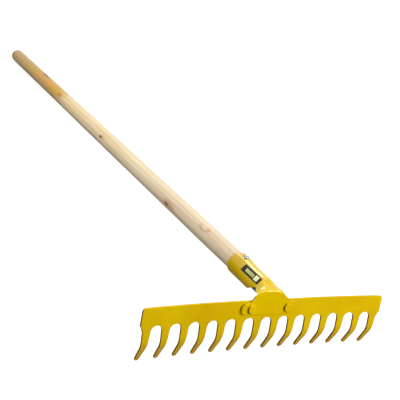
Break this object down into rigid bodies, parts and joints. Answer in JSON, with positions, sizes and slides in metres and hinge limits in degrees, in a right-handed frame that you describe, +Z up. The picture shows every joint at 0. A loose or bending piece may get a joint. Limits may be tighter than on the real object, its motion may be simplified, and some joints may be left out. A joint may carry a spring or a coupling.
{
  "type": "garden rake",
  "caption": "Garden rake: steel blade with curved teeth, riveted sheet socket and a straight round wooden handle.",
  "frame": {"origin": "middle of the bounding box's underside, on the floor that the rake lies on", "axes": "+Y along the floor from the head to the handle's far end, +X along the blade, +Z up; the rake lies on its tooth tips and on the end of its handle"},
  "size_m": [0.3846, 1.2338, 0.1039],
  "materials": {
    "wood": "smooth turned, clear coat",
    "yellow_enamel": "semi-gloss enamel",
    "zinc_steel": "zinc plated",
    "label_film": "satin printed film"
  },
  "bodies": {
    "root": {"handle": "wood", "blade": "yellow_enamel", "socket": "yellow_enamel", "rivet_left": "yellow_enamel", "rivet_right": "yellow_enamel", "fixing_screw": "zinc_steel", "label": "label_film"}
  },
  "joints": []
}
